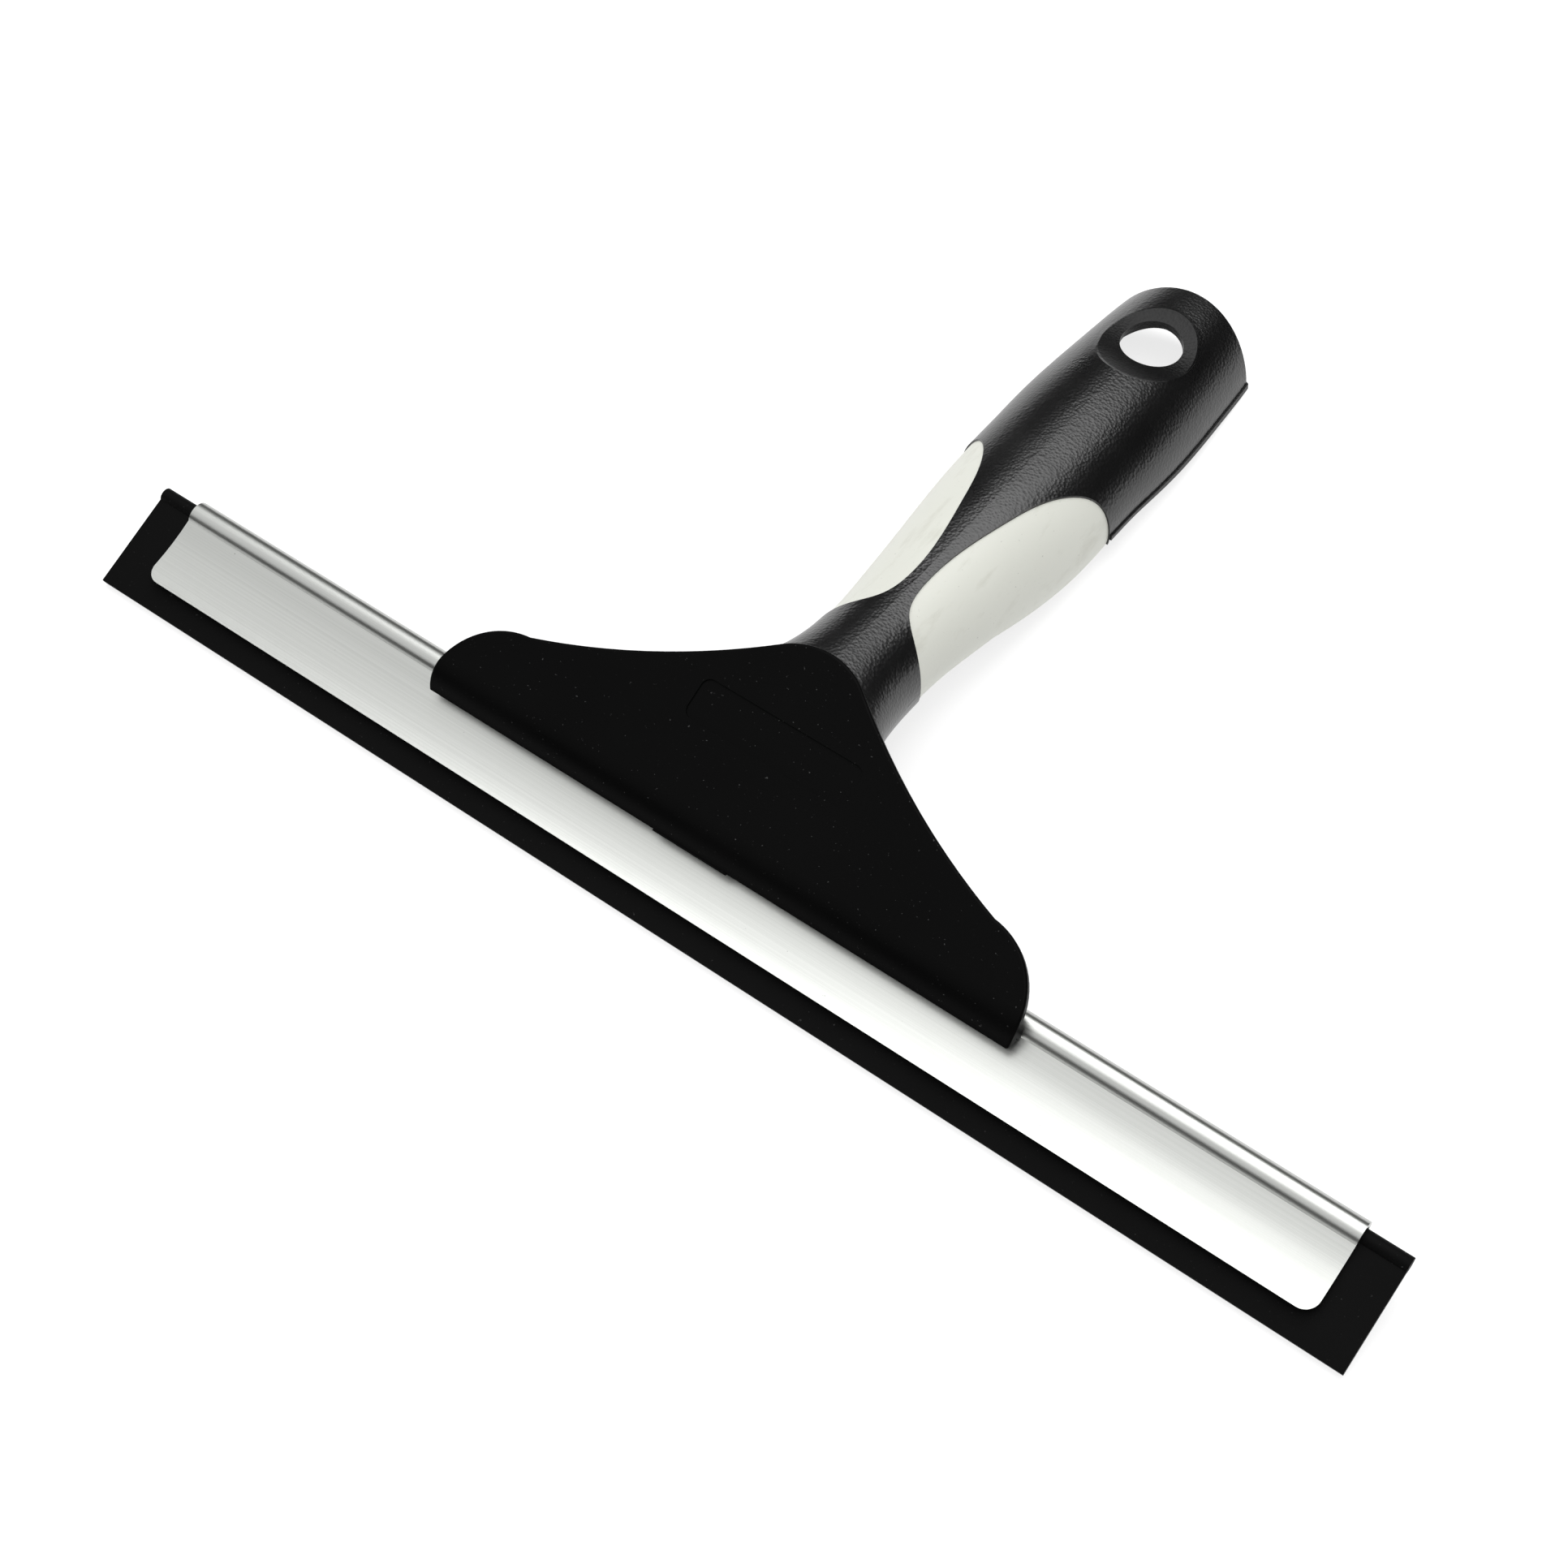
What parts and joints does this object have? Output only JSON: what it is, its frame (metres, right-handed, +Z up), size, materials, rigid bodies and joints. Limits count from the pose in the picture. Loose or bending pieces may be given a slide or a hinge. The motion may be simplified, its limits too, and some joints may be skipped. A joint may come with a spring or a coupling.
{
  "type": "window cleaning squeegee",
  "caption": "Window squeegee: wide rubber blade in an aluminium channel, black fan-shaped clamping head, bent hollow grip with pale side pads and a hanging hole",
  "frame": {"origin": "centre of the footprint, on the surface the squeegee lies on", "axes": "+X along the blade, +Y from the wiping edge towards the end of the grip, +Z up; it lies face up on the rear lip of the channel and the back rim at the end of the grip"},
  "size_m": [0.3, 0.1918, 0.0328],
  "materials": {
    "rubber": "matte black blade rubber",
    "aluminium": "satin anodised extrusion",
    "head_plastic": "smooth satin black",
    "core_plastic": "stiff black moulding",
    "grip_skin": "soft black overmould with a fine grain",
    "grip_pad": "pale grey soft pad",
    "screw_steel": "zinc-plated steel"
  },
  "bodies": {
    "handle": {"handle_core": "core_plastic", "rear_jaw": "head_plastic", "front_plate": "head_plastic", "clamp_screws": "screw_steel", "grip_skin": "grip_skin", "grip_pad_left": "grip_pad", "grip_pad_right": "grip_pad"},
    "channel": {"blade_channel": "aluminium"},
    "blade": {"rubber_blade": "rubber"}
  },
  "joints": [
    {"name": "channel_slide", "type": "slide", "parent": "handle", "child": "channel", "axis": [1, 0, 0], "range_m": [-0.215, 0.215]},
    {"name": "blade_slide", "type": "slide", "parent": "channel", "child": "blade", "axis": [1, 0, 0], "range_m": [-0.295, 0.295]}
  ]
}
